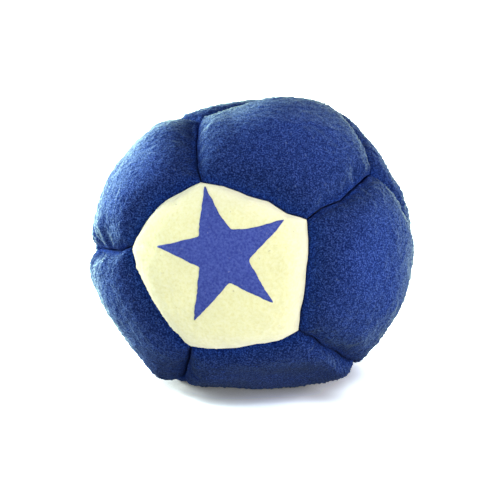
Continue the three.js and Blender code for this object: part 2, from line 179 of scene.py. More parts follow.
# Folds and ridges in a panel: panel, tilt and turn of both ends, width, and height in millimetres
FOLDS = [
    ("upper_left", (80, 18), (80, 6), 1.8, 0.4),
    ("far_top", (93, 14), (93, 5), 2.0, -0.3),
    ("upper_left", (61, 2), (43, 3), 1.8, -0.7),
    ("upper_left", (65, 3), (73, 2), 1.2, -0.5),
    ("upper_left", (68, 63), (60, 70), 0.6, -0.7),
    ("upper_left", (57, 62), (54, 70), 1.0, 0.3),
    ("lower_left", (64, 74), (58, 76), 0.7, -0.7),
    ("lower_left", (54, 73), (53, 78), 0.9, 0.3),
    ("lower_left", (70, 74), (67, 77), 1.0, 0.35),
    ("star", (36, 71), (29, 68), 0.6, -0.3),
    ("star", (29, 68), (23, 66), 0.7, -0.22),
    ("top", (47, 292), (58, 291), 1.3, -0.45),
    ("top", (65, 289), (66, 293), 0.8, -0.45),
    ("top", (71, 290), (72, 292), 0.9, 0.35),
    ("right", (68, 286), (66, 283), 0.9, -0.3),
    ("right", (41, 287), (47, 287), 1.3, -0.6),
    ("right", (62, 254), (70, 240), 0.8, 0.15),
    ("right", (68, 251), (74, 238), 0.7, 0.12),
    ("bottom", (52, 209), (70, 208), 2.5, 0.4),
    ("bottom", (48, 215), (46, 209), 0.8, -0.3),
    ("top", (67, 319), (68, 308), 1.0, -0.15),
]

# Where the whole skin stands out or in: tilt, turn, and height in millimetres
BULGES = [
    (90, 278, 0.4),
    (91, 300, 0.4),
    (80, 336, 0.6),
    (70, 10, 0.6),
    (63, 57, 0.3),
    (86, 14, 0.45),
    (88, 345, 0.3),
    (81, 141, 0.8),
    (76, 158, -0.5),
    (66, 81, 0.4),
    (60, 100, 0.5),
    (60, 117, 0.4),
    (68, 140, 0.3),
    (70, 152, -0.6),
    (79, 214, 0.95),
    (88, 212, -0.75),
    (82, 232, 0.6),
    (77, 242, 0.85),
]
BULGE_REACH = 4.5

# Sizes that follow
BAG_RADIUS = BAG_DIAMETER / 2
SEAM_RADIUS = BAG_RADIUS - CROWN_HEIGHT - GROOVE_DEPTH
RAW_RADIUS = SEAM_RADIUS - SEAM_ALLOWANCE
CONTACT_INSET = SEAM_GAP / 2
LINING_INSET = CONTACT_INSET + SUEDE_THICKNESS
NEEDLE_HOLE = THREAD_DIAMETER + 2 * THREAD_CLEARANCE
STITCH_RADIUS = SEAM_RADIUS - STITCH_DEPTH
PRESSED_RADIUS = BAG_RADIUS - FOOT_PRESS_DEPTH
HALF_WIDTH = SEAM_RADIUS * math.radians(NEAR_EDGE)

# Camera and light, in metres, watts and degrees
CAMERA_DISTANCE = 0.44
CAMERA_ELEVATION = 18.0
CAMERA_LENS = 183.5
CAMERA_SHIFT = (-0.0081, -0.0108)
LAMP_AIM = (0, 0, 0.024)
LAMPS = [  # name, place, side, power, colour
    ("front_left", (-0.2, -0.48, 0.06), 0.3, 1.75, (0.96, 0.99, 1)),
    ("front_right", (0.3, -0.42, 0.1), 0.3, 1.82, (1, 0.97, 0.92)),
    ("top", (0, -0.1, 0.58), 0.4, 0.5, (1, 1, 1)),
    ("left_back", (-0.5, 0.38, 0.14), 0.3, 16.5, (0.95, 1, 0.85)),
    ("left", (-0.55, 0.05, 0.28), 0.3, 1.1, (0.9, 1, 0.9)),
    ("right", (0.55, 0.05, 0.12), 0.3, 3.0, (1, 0.92, 0.9)),
]
WORLD_STRENGTH = 0.05
WORLD_COLOUR = (0.93, 0.96, 1, 1)
FLOOR_HALF_SIDE = 0.5
FLOOR_DROP = 0.02  # below the bag's foot, in millimetres
FLOOR_REFLECTANCE = 0.15  # what the floor throws back on the bag
FLOOR_GLOW = 0.07
CONTACT_REACH = 0.0046  # of the painted contact shadow where bag and floor meet
SHELTER_REACH = 0.015  # reach of the painted shade that dims the blue suede's painted sheen where other surfaces are near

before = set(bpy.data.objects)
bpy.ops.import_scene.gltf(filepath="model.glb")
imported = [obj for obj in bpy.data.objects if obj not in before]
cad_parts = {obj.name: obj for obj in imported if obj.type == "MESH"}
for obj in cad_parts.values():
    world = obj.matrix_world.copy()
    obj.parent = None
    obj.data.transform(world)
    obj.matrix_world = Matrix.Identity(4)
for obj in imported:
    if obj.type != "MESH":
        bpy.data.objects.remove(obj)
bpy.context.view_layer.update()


# Directions of the round bag's panels


def direction(tilt, turn):
    """The unit vector at a tilt from +Z, turned anticlockwise from +Y, in degrees."""
    t, a = np.radians(tilt), np.radians(turn)
    return np.stack([-np.sin(t) * np.sin(a), np.sin(t) * np.cos(a), np.cos(t) * np.ones_like(a)], axis=-1)


def unit(vectors):
    """The same directions, one long."""
    return vectors / np.linalg.norm(vectors, axis=-1, keepdims=True)


NEAR_NAMES = ["upper_left", "lower_left", "bottom", "right", "top"]
FAR_NAMES = ["far_top", "far_left", "far_lower_left", "far_lower_right", "far_right"]
PANELS = [
    ("star", direction(0, 0)),
    *[(name, direction(NEAR_PANEL, FIFTH * (i + 0.5))) for i, name in enumerate(NEAR_NAMES)],
    *[(name, direction(FAR_PANEL, FIFTH * i)) for i, name in enumerate(FAR_NAMES)],
    ("back", direction(180, 0)),
]
CORNERS = [
    direction(tilt, FIFTH * (i + shift))
    for tilt, shift in [(NEAR_CORNER, 0), (FAR_CORNER, 0), (BACK_CORNER, 0.5), (180 - NEAR_CORNER, 0.5)]
    for i in range(5)
]


def panel_frame(facing):
    """Matrix that turns the one modelled panel, facing +Z with a corner towards +Y, to a direction."""
    reach = math.cos(math.radians(NEAR_CORNER + 1))
    corner = next(c for c in CORNERS if c @ facing > reach)
    up = unit(corner - (corner @ facing) * facing)
    return np.stack([np.cross(up, facing), up, facing], axis=1)


# The seams of the modelled panel
EDGE_MIDDLES = np.array([direction(NEAR_EDGE, FIFTH * (i + 0.5)) for i in range(5)])
SEAM_NORMALS = np.array([direction(NEAR_EDGE - 90, FIFTH * (i + 0.5)) for i in range(5)])


def edge_angle(turn, inset, radius):
    """Angle from the panel's middle to its edge, an inset away from the seam's plane at a radius."""
    from_middle = np.radians(np.mod(turn, FIFTH) - FIFTH / 2)
    across = math.sin(math.radians(NEAR_EDGE))
    along = math.cos(math.radians(NEAR_EDGE)) * np.cos(from_middle)
    return np.arccos(inset / radius / np.hypot(across, along)) - np.arctan2(along, across)


def seam_distance(facing, inset):
    """Distance to the panel's seams, blended round the corners."""
    distance = SEAM_RADIUS * np.arcsin(np.clip(facing @ SEAM_NORMALS.T, -1, 1)) - inset
    least = SEAM_RADIUS * 1e-6
    return np.sum(np.maximum(distance, least) ** -CORNER_BLEND_POWER, axis=1) ** (-1 / CORNER_BLEND_POWER)


def skin_radius(facing, inset, depth):
    """Radius of the puffed skin, or of a layer a depth below it."""
    distance = seam_distance(facing, inset)
    roll = 1 - np.minimum(distance / (SHOULDER_REACH - depth), 1)
    dome = 1 - np.minimum(distance / HALF_WIDTH, 1)
    return SEAM_RADIUS + (GROOVE_DEPTH - depth) * np.sqrt(1 - roll**2) + CROWN_HEIGHT * (1 - dome**2)


# Smooth random lumps, the same each time


def hashed(cell, seed):
    """A number from -1 to 1 for each cell of a lattice."""
    mixed = cell[:, 0] * 73856093 ^ cell[:, 1] * 19349663 ^ cell[:, 2] * 83492791 ^ (seed * 40503 + 977)
    mixed = (mixed ^ (mixed >> 13)) * 1274126177 & 0xFFFFFFFF
    mixed = (mixed ^ (mixed >> 15)) * 668265263 & 0xFFFFFFFF
    return (mixed >> 8 & 0xFFFF) / 32767.5 - 1


def lumps(points, size, seed):
    """Noise from -1 to 1 whose lumps are about a size across."""
    cells = points / size + 0.37 * seed
    base = np.floor(cells).astype(np.int64)
    part = cells - base
    fade = part * part * (3 - 2 * part)
    total = np.zeros(len(points))
    for step in np.ndindex(2, 2, 2):
        weight = np.prod(np.where(step, fade, 1 - fade), axis=1)
        total += weight * hashed(base + np.array(step), seed)
    return total


def smooth(value):
    """From 0 to 1, with soft ends."""
    held = np.clip(value, 0, 1)
    return held * held * (3 - 2 * held)


# Settling


def turn_about(axis, degrees):
    """Matrix of a turn about the X or Z axis."""
    angle = math.radians(degrees)
    c, s = math.cos(angle), math.sin(angle)
    if axis == "X":
        return np.array([[1, 0, 0], [0, c, -s], [0, s, c]])
    return np.array([[c, -s, 0], [s, c, 0], [0, 0, 1]])


STANDING = (
    turn_about("Z", STAR_SIDE_ANGLE) @ turn_about("X", 90 - STAR_LIFT_ANGLE) @ turn_about("Z", STAR_SPIN_ANGLE)
)
SLUMP = np.array([1 + SPREAD_SHARE, 1 + SPREAD_SHARE, 1 - SINK_SHARE])


def settled(points):
    """Where points of the round bag are once it stands on the ground, in the part's frame."""
    stood = points @ STANDING.T
    radius = np.linalg.norm(stood, axis=1, keepdims=True)
    facing = stood / radius
    pull = np.zeros_like(stood)
    for tilt, turn, by in PULL_SHARES:
        place = STANDING @ direction(tilt, turn)
        angle = np.arccos(np.clip(facing @ place, -1, 1))
        reach = math.radians(PULL_REACH_ANGLE)
        pull += np.exp(-((angle / reach) ** 2))[:, None] * np.array(by)
    moved = stood * SLUMP + pull * radius
    ground = -STAND_SHARE * BAG_RADIUS
    skin_height = (facing[:, 2] * SLUMP[2] + pull[:, 2]) * PRESSED_RADIUS
    lift = FOOT_BLEND_HEIGHT * np.log1p(np.exp((ground - skin_height) / FOOT_BLEND_HEIGHT))
    moved[:, 2] = np.maximum(moved[:, 2] + lift - ground, 0)
    return moved + np.array([*BAG_PLACE, 0])


# The unevenness of real sewing, on the round bag


def wandered(points):
    """Points moved sideways, the same on both sides of a seam, and not at all down at the stitches."""
    radius = np.linalg.norm(points, axis=1)
    share = smooth(radius - (SEAM_RADIUS - 1))[:, None]
    wave = np.stack([lumps(points, WAVE_SIZE, WAVE_SEED + axis) for axis in range(3)], axis=1)
    ripple = np.stack([lumps(points, SMALL_WAVE_SIZE, SMALL_WAVE_SEED + axis) for axis in range(3)], axis=1)
    move = WAVE_REACH * wave + SMALL_WAVE_REACH * ripple
    outwards = points / radius[:, None]
    for start, end, bends in SEAM_BENDS:
        first, last = direction(*start), direction(*end)
        normal = unit(np.cross(first, last))
        length = math.acos(first @ last)
        along = np.arctan2(outwards @ np.cross(normal, first), outwards @ first) / length
        away = BAG_RADIUS * np.arcsin(np.clip(outwards @ normal, -1, 1))
        bend = np.interp(along, np.linspace(0, 1, len(bends) + 2), [0, *bends, 0])
        move += (bend * np.exp(-((away / SEAM_BEND_REACH) ** 2)))[:, None] * normal
    move -= np.sum(move * outwards, axis=1, keepdims=True) * outwards
    return points + share * move


def puffed(facing, distance, number):
    """How far a panel's skin stands out from its even shape."""
    ball = facing * BAG_RADIUS
    broad = lumps(ball, PUFF_SIZE, PUFF_SEED + number)
    small = lumps(ball, PUFF_SIZE / 2, SMALL_PUFF_SEED + number)
    gather = GATHER_REACH * lumps(ball, GATHER_SIZE, GATHER_SEED + number) * np.exp(-distance / GATHER_WIDTH)
    return smooth(distance / SHOULDER_BLEND) * (PUFF_REACH * (broad + 0.5 * small) + gather)


def folded(facing, distance, name):
    """How far a panel's folds and the bag's bulges lift its skin."""
    ball = facing * BAG_RADIUS
    lift = np.zeros(len(ball))
    for panel, start, end, width, height in FOLDS:
        if panel == name:
            first, last = BAG_RADIUS * direction(*start), BAG_RADIUS * direction(*end)
            run = last - first
            along = np.clip((ball - first) @ run / (run @ run), 0, 1)
            away = np.linalg.norm(ball - first - along[:, None] * run, axis=1)
            lift += height * np.exp(-((away / width) ** 2))
    lift *= FOLD_RIM_SHARE + (1 - FOLD_RIM_SHARE) * smooth(distance)
    for tilt, turn, height in BULGES:
        away = np.linalg.norm(ball - BAG_RADIUS * direction(tilt, turn), axis=1)
        lift += height * np.exp(-((away / BULGE_REACH) ** 2))
    return lift


# One panel's grid: five kites that meet in its middle


def kite_points(count):
    """Tilts as shares of the way to the edge, turns in degrees, and quads, of a pentagon's five kites."""
    steps = np.linspace(0, 1, count + 1)
    u, v = (grid.ravel() for grid in np.meshgrid(steps, steps, indexing="ij"))
    flat, quads = [], []
    index = np.arange((count + 1) ** 2).reshape(count + 1, count + 1)
    cell = np.stack([index[:-1, :-1], index[1:, :-1], index[1:, 1:], index[:-1, 1:]], axis=-1).reshape(-1, 4)
    for i in range(5):
        corner = flattened(NEAR_CORNER, FIFTH * i)
        before, after = (flattened(NEAR_EDGE, FIFTH * (i + shift)) for shift in (-0.5, 0.5))
        flat.append(np.outer(u * (1 - v), before) + np.outer(u * v, corner) + np.outer(v * (1 - u), after))
        quads.append(cell + i * len(u))
    flat = np.concatenate(flat)
    _, first, merged = np.unique(np.round(flat, 7) + 0.0, axis=0, return_index=True, return_inverse=True)
    flat = flat[first]
    turn = np.degrees(np.arctan2(-flat[:, 0], flat[:, 1]))
    tilt = np.arctan(np.linalg.norm(flat, axis=1))
    share = np.minimum(tilt / edge_angle(turn, 0, SEAM_RADIUS), 1)
    rim = np.flatnonzero(share > 1 - 1e-6)
    share[rim] = 1
    rim = rim[np.argsort(np.mod(turn[rim] + FIFTH / 2 - 1e-6, 360))]
    return 1 - (1 - share) ** EDGE_CROWDING, turn, merged.ravel()[np.concatenate(quads)], rim


def flattened(tilt, turn):
    """A direction's place on the plane that touches the panel's middle."""
    a = math.radians(turn)
    return math.tan(math.radians(tilt)) * np.array([-math.sin(a), math.cos(a)])


OUTER = kite_points(GRID)
LINING = kite_points(GRID // 2)


def layer_facing(layer, inset):
    """Directions of a grid's points, spread to an inset from the seams."""
    share, turn = layer[0], layer[1]
    return direction(np.degrees(share * edge_angle(turn, inset, SEAM_RADIUS)), turn)


def rim_ring(turn, radius, inset):
    """Points along the panel's whole edge, a radius from the bag's middle and an inset from the seams."""
    return radius * direction(np.degrees(edge_angle(turn, inset, radius)), turn)


# Needle holes, as columns of the allowance that take the stitches' own places


def stitch_columns(turn):
    """For each stitch of each seam, its three columns of the allowance and its angle from the seam's middle."""
    found = []
    from_middle = np.radians(np.mod(turn, FIFTH) - FIFTH / 2)
    along = np.arctan(math.sin(math.radians(NEAR_EDGE)) * np.tan(from_middle))
    edges = np.floor(np.mod(turn, 360) / FIFTH).astype(int)
    for edge in range(5):
        for stitch in range(STITCHES_PER_SEAM):
            angle = (stitch - (STITCHES_PER_SEAM - 1) / 2) * STITCH_PITCH / STITCH_RADIUS
            away = np.where(edges == edge, np.abs(along - angle), np.inf)
            found.append((edge, angle, int(np.argmin(away))))
    return found


def seam_point(edge, angle, radius, inset):
    """A point beside a seam of the modelled panel, at an angle from the seam's middle."""
    normal, middle = SEAM_NORMALS[edge], EDGE_MIDDLES[edge]
    along = np.cross(middle, normal)
    arc = math.sqrt(radius**2 - inset**2)
    return inset * normal + arc * (math.cos(angle) * middle + math.sin(angle) * along)


def allowance_rings(turn, inset):
    """Rings of one side of the seam allowance, from above the needle holes down to the raw edge."""
    hole_top, hole_foot = STITCH_RADIUS + NEEDLE_HOLE / 2, STITCH_RADIUS - NEEDLE_HOLE / 2
    rings = [rim_ring(turn, radius, inset) for radius in (hole_top, hole_foot, RAW_RADIUS)]
    half = NEEDLE_HOLE / 2 / STITCH_RADIUS
    for edge, angle, column in stitch_columns(turn):
        for ring, radius in zip(rings[:2], (hole_top, hole_foot)):
            for side in (-1, 0, 1):
                ring[(column + side) % len(turn)] = seam_point(edge, angle + side * half, radius, inset)
    return rings


def band(before, after, skipped=()):
    """Quads between two loops of as many points."""
    count = len(before)
    kept = [i for i in range(count) if i not in skipped]
    return [(before[i], after[i], after[(i + 1) % count], before[(i + 1) % count]) for i in kept]


def narrowing(fine, coarse):
    """Triangles between a loop and one with half as many points."""
    faces = []
    for i, point in enumerate(coarse):
        after = coarse[(i + 1) % len(coarse)]
        first, second, third = fine[2 * i], fine[2 * i + 1], fine[(2 * i + 2) % len(fine)]
        faces += [(first, point, second), (second, point, after), (second, after, third)]
    return faces


def panel_mesh():
    """Points on the round bag, faces, and each point's seam distance, of the one modelled panel."""
    facing = layer_facing(OUTER, CONTACT_INSET)
    distance = seam_distance(facing, CONTACT_INSET)
    outer = facing * skin_radius(facing, CONTACT_INSET, 0)[:, None]
    lining_facing = layer_facing(LINING, LINING_INSET)
    lining = lining_facing * skin_radius(lining_facing, LINING_INSET, SUEDE_THICKNESS)[:, None]
    turn = LINING[1][LINING[3]]
    contact = allowance_rings(turn, CONTACT_INSET)
    inner = allowance_rings(turn, LINING_INSET)
    points = [outer, *contact, *reversed(inner), lining]
    starts = np.cumsum([0] + [len(p) for p in points])
    rim = list(OUTER[3])
    loops = [list(range(starts[k], starts[k] + len(turn))) for k in range(1, 7)]
    lining_rim = list(LINING[3] + starts[7])
    holes = {c % len(turn) for _, _, column in stitch_columns(turn) for c in (column - 1, column)}
    faces = [tuple(q) for q in OUTER[2]]
    faces += narrowing(rim, loops[0])
    faces += band(loops[0], loops[1], holes)
    faces += band(loops[1], loops[2]) + band(loops[2], loops[3]) + band(loops[3], loops[4])
    faces += band(loops[4], loops[5], holes)
    faces += band(loops[5], lining_rim)
    faces += [tuple(q[::-1]) for q in LINING[2] + starts[7]]
    for _, _, column in stitch_columns(turn):
        faces += hole_walls(loops, column, len(turn))
    return np.concatenate(points), faces, distance, len(outer)


def hole_walls(loops, column, count):
    """The four walls of one needle hole, between the allowance's two sides."""
    top, foot, inner_foot, inner_top = loops[0], loops[1], loops[4], loops[5]
    left, mid, right = (column - 1) % count, column % count, (column + 1) % count
    return [
        (top[left], inner_top[left], inner_top[mid], top[mid]),
        (top[mid], inner_top[mid], inner_top[right], top[right]),
        (foot[mid], inner_foot[mid], inner_foot[left], foot[left]),
        (foot[right], inner_foot[right], inner_foot[mid], foot[mid]),
        (foot[left], inner_foot[left], inner_top[left], top[left]),
        (top[right], inner_top[right], inner_foot[right], foot[right]),
    ]


# Cloth simulation of all the skins, sewn down along their seams


def simulated_skins():
    """For each panel, a tree of its simulated skin on the round bag, in millimetres."""
    share, turn, quads, rim = kite_points(SIMULATION_GRID)
    facing = layer_facing((share, turn), CONTACT_INSET)
    distance = seam_distance(facing, CONTACT_INSET)
    points, faces, weights = [], [], []
    for number, (_, towards) in enumerate(PANELS):
        turned = facing @ panel_frame(towards).T
        points.append(turned * skin_radius(facing, CONTACT_INSET, 0)[:, None])
        faces.append(quads + number * len(facing))
        uneven = CLOTH_UNEVENNESS * lumps(turned * BAG_RADIUS, CLOTH_GATHER_SIZE, CLOTH_SEED)
        weights.append((1 - CLOTH_UNEVENNESS + uneven) * np.exp(-distance / GATHER_WIDTH))
    every, weights = np.concatenate(points), np.concatenate(weights)
    skins = make_object("simulated_skins", every * SIMULATION_SCALE, np.concatenate(faces))
    sewn, gathered = skins.vertex_groups.new(name="sewn"), skins.vertex_groups.new(name="gathered")
    for number in range(len(PANELS)):
        sewn.add([int(i) + number * len(facing) for i in rim], 1.0, "REPLACE")
    for index, weight in enumerate(weights):
        gathered.add([index], float(1 - weight), "REPLACE")
    cloth = skins.modifiers.new("cloth", "CLOTH").settings
    cloth.quality = CLOTH_QUALITY
    cloth.mass = CLOTH_MASS
    cloth.tension_stiffness = cloth.compression_stiffness = CLOTH_STRETCH_STIFFNESS
    cloth.shear_stiffness = CLOTH_SHEAR_STIFFNESS
    cloth.bending_stiffness = CLOTH_BENDING_STIFFNESS
    cloth.vertex_group_mass = "sewn"
    cloth.vertex_group_shrink = "gathered"
    cloth.shrink_min, cloth.shrink_max = -CLOTH_GATHER, 0.0
    cloth.use_pressure = True
    cloth.uniform_pressure_force = CLOTH_PRESSURE
    cloth.effector_weights.gravity = 0
    skins.modifiers["cloth"].collision_settings.use_collision = False
    scene = bpy.context.scene
    scene.frame_start, scene.frame_end = 1, CLOTH_FRAMES
    for step in range(1, CLOTH_FRAMES + 1):
        scene.frame_set(step)
    shaped = skins.evaluated_get(bpy.context.evaluated_depsgraph_get()).to_mesh()
    moved = np.empty(len(every) * 3)
    shaped.vertices.foreach_get("co", moved)
    bpy.data.objects.remove(skins)
    scene.frame_set(1)
    moved = moved.reshape(-1, 3) / (SIMULATION_SCALE * MM)
    start = np.linalg.norm(every, axis=1)
    rise = np.clip(np.linalg.norm(moved, axis=1) - start, -CLOTH_CAP, CLOTH_CAP)
    held = np.split(unit(moved) * (start + rise)[:, None], len(PANELS))
    return [BVHTree.FromPolygons([Vector(p) for p in part], quads.tolist()) for part in held]


def simulated_rise(tree, facing, radius, neighbours):
    """How far a simulated skin stands out from the even one, smoothed over the fine grid."""
    rise = np.zeros(len(facing))
    for index, towards in enumerate(facing):
        hit = tree.ray_cast(Vector((0, 0, 0)), Vector(towards))[0]
        if hit is not None:
            rise[index] = hit.length - radius[index]
    for _ in range(CLOTH_SMOOTHING):
        total, count = np.zeros(len(rise)), np.zeros(len(rise))
        for a, b in neighbours:
            np.add.at(total, a, rise[b])
            np.add.at(count, a, 1)
        rise = (rise + total / np.maximum(count, 1)) / 2
    return rise


def make_object(name, points, faces):
    """A smooth-shaded piece from points in millimetres."""
    mesh = bpy.data.meshes.new(name)
    mesh.from_pydata((points * MM).tolist(), [], [tuple(int(i) for i in face) for face in faces])
    mesh.shade_smooth()
    mesh.update()
    piece = bpy.data.objects.new(name, mesh)
    bpy.context.scene.collection.objects.link(piece)
    return piece


def make_panel(name, facing, number):
    """One suede panel, as it lies on the settled bag."""
    turned = panel_frame(facing)
    points, faces, distance, outer_count = panel_mesh()
    points = points @ turned.T
    radius = np.linalg.norm(points, axis=1, keepdims=True)
    facings = points / radius
    away = seam_distance(facings @ turned, CONTACT_INSET)
    rise = np.zeros(len(points))
    skin = radius[:, 0] > SEAM_RADIUS - 1e-6
    rise[skin] = puffed(facings[skin], away[skin], number) + folded(facings[skin], away[skin], name)
    if SKINS:
        outer = np.arange(outer_count)
        quads = OUTER[2]
        pairs = [(quads[:, k], quads[:, (k + 1) % 4]) for k in range(4)]
        lift = simulated_rise(SKINS[number], facings[outer], radius[outer, 0], pairs)
        rise[outer] += smooth(away[outer] / RIM_BLEND) * lift
    face = points[:outer_count]
    nap = NAP_REACH * (lumps(face, NAP_SIZE, NAP_SEED) + lumps(face, NAP_SIZE / 2, SMALL_NAP_SEED))
    fibre_reach = PRINTED_FIBRE_REACH if name == "star" else FIBRE_REACH
    fibres = fibre_reach * np.random.default_rng(FIBRE_SEED + number).random(outer_count) ** FIBRE_POWER
    rise[:outer_count] += smooth(away[:outer_count] / RIM_BLEND) * (nap + fibres)
    points = settled(wandered(points + rise[:, None] * facings))
    piece = make_object(f"suede_{name}", points, faces)
    # seam_share places the blue suede's painted seam shade and painted sheen cut, and the pale suede's painted
    # highlight
    depth = piece.data.attributes.new("seam_share", "FLOAT", "POINT")
    depth.data.foreach_set("value", np.clip(away / SEAM_SHADE_REACH, 0, 1).astype(np.float32))
    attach(piece, "root")
    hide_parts(f"panel_{name}")
    return piece, points[:outer_count], [tuple(q) for q in OUTER[2]]


# The printed star


def star_outline():
    """The star's outline on its panel, with soft points and a slightly ragged edge."""
    knots = []
    for (tip_turn, tip_share), (waist_turn, waist_share) in zip(STAR_TIP_SHARES, STAR_WAIST_SHARES):
        knots.append(star_point(tip_turn, tip_share * STAR_REACH))
        knots.append(star_point(waist_turn, waist_share * STAR_WAIST))
    line = []
    for start, end in zip(knots, knots[1:] + knots[:1]):
        count = max(int(np.linalg.norm(end - start) / STAR_EDGE_STEP), 1)
        line += [start + (end - start) * k / count for k in range(count)]
    line = np.array(line)
    passes = int((STAR_ROUNDING / STAR_EDGE_STEP) ** 2)
    for _ in range(max(passes, 1)):
        line = (np.roll(line, 1, axis=0) + 2 * line + np.roll(line, -1, axis=0)) / 4
    outwards = np.roll(line, -1, axis=0) - np.roll(line, 1, axis=0)
    outwards = unit(np.stack([-outwards[:, 1], outwards[:, 0]], axis=1))
    flat = np.concatenate([line, np.zeros((len(line), 1))], axis=1)
    rough = lumps(flat, STAR_ROUGH_SIZE, STAR_SEED) + 0.8 * lumps(flat, STAR_ROUGH_SIZE / 2, SMALL_STAR_SEED)
    return line + STAR_ROUGHNESS * rough[:, None] * outwards


def star_point(turn, reach):
    """A knot of the star's outline, a reach from its middle."""
    a = math.radians(turn)
    return np.array([STAR_OFFSET[0] - reach * math.sin(a), STAR_OFFSET[1] + reach * math.cos(a)])


def on_round_bag(flat):
    """Points of the star panel's face, seen straight on, lifted onto the round bag's even skin."""
    radius = np.full(len(flat), BAG_RADIUS)
    for _ in range(4):
        height = np.sqrt(radius**2 - np.sum(flat**2, axis=1))
        facing = unit(np.concatenate([flat, height[:, None]], axis=1))
        radius = skin_radius(facing, CONTACT_INSET, 0)
    return facing * radius[:, None]


def make_star(points, quads):
    """The star's ink, laid on the star panel's own skin."""
    outline = star_outline()
    centre = np.array(STAR_OFFSET)
    count = len(outline)
    rings = [centre + (outline - centre) * k / STAR_RINGS for k in range(1, STAR_RINGS + 1)]
    flat = np.concatenate([[centre], *rings])
    round_points = on_round_bag(flat)
    inside, outside = (settled(wandered(round_points + lift * unit(round_points))) for lift in (-3, 3))
    tree = BVHTree.FromPolygons([Vector(p) for p in points], quads)
    layers = [[], []]
    for start, end in zip(outside, inside):
        heading = Vector(end - start).normalized()
        hit, normal, _, _ = tree.ray_cast(Vector(start), heading)
        for layer, lift in zip(layers, (INK_GAP + INK_THICKNESS, INK_GAP)):
            layer.append(hit - heading * lift)
    every = np.array(layers[0] + layers[1])
    top = [[0] * count] + [[1 + k * count + i for i in range(count)] for k in range(STAR_RINGS)]
    faces = [(0, top[1][i], top[1][(i + 1) % count]) for i in range(count)]
    for before, after in zip(top[1:], top[2:]):
        faces += band(before, after)
    shift = len(layers[0])
    faces += [tuple(p + shift for p in face[::-1]) for face in list(faces)]
    faces += band(top[-1], [p + shift for p in top[-1]])
    piece = make_object("star_ink", every, faces)
    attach(piece, "root")
    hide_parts("star_print")
    return piece


# Materials


class Nodes:
    """A material's node tree, built a node at a time."""

    def __init__(self, name):
        self.material = bpy.data.materials.new(name)
        self.material.use_nodes = True
        self.tree = self.material.node_tree
        self.tree.nodes.clear()
        self.output = self.tree.nodes.new("ShaderNodeOutputMaterial")
        self.place = self.tree.nodes.new("ShaderNodeTexCoord").outputs["Object"]

    def node(self, kind, inputs=(), **settings):
        """A node with its inputs set to values or linked to sockets."""
        made = self.tree.nodes.new(kind)
        for name, value in settings.items():
            setattr(made, name, value)
        for name, value in dict(inputs).items():
            if isinstance(value, bpy.types.NodeSocket):
                self.tree.links.new(value, made.inputs[name])
            else:
                made.inputs[name].default_value = value
        return made

    def noise(self, size, detail=2.0, roughness=0.5):
        """Noise with lumps of a size in metres."""
        inputs = {"Vector": self.place, "Scale": 1 / size, "Detail": detail, "Roughness": roughness}
        return self.node("ShaderNodeTexNoise", inputs).outputs["Fac"]

    def cells(self, size):
        """Distance from the middles of cells of a size in metres, such as tufts of pile."""
        inputs = {"Vector": self.place, "Scale": 1 / size}
        return self.node("ShaderNodeTexVoronoi", inputs).outputs["Distance"]

    def ramp(self, factor, stops):
        """A value or colour from stops of (position, colour)."""
        made = self.node("ShaderNodeValToRGB", {"Fac": factor})
        elements = made.color_ramp.elements
        while len(elements) < len(stops):
            elements.new(0.5)
        for element, (position, colour) in zip(elements, stops):
            element.position = position
            element.color = colour if len(colour) == 4 else (*colour, 1)
        return made.outputs["Color"]

    def mix(self, factor, first, second, blend="MIX"):
        """Two colours blended."""
        made = self.node("ShaderNodeMix", data_type="RGBA", blend_type=blend)
        for socket, value in zip((made.inputs[0], made.inputs[6], made.inputs[7]), (factor, first, second)):
            if isinstance(value, bpy.types.NodeSocket):
                self.tree.links.new(value, socket)
            else:
                socket.default_value = value
        return made.outputs[2]

    def surface(self, socket):
        """The finished material, with a shader on its surface."""
        self.tree.links.new(socket, self.output.inputs["Surface"])
        return self.material


def linear(red, green, blue):
    """A screen colour, 0 to 255, as the shader's linear colour."""
    parts = [c / 255 for c in (red, green, blue)]
    return tuple(c / 12.92 if c <= 0.04045 else ((c + 0.055) / 1.055) ** 2.4 for c in parts) + (1,)


def grey(value):
    """A linear colour with no tint."""
    return (value, value, value)


# Sizes of the materials' patterns, in metres
BLUE_GRAIN = 0.00024
BLUE_TUFT = 0.00032
BLUE_SPECK = 0.0006
BLUE_CLOUD = 0.006
PALE_GRAIN = 0.0005
PALE_SPECK = 0.0009
PALE_CLOUD = 0.005
INK_GRAIN = 0.0004
INK_WEAR = 0.0006
THREAD_STRAND = 0.0002
PELLET = 0.0025


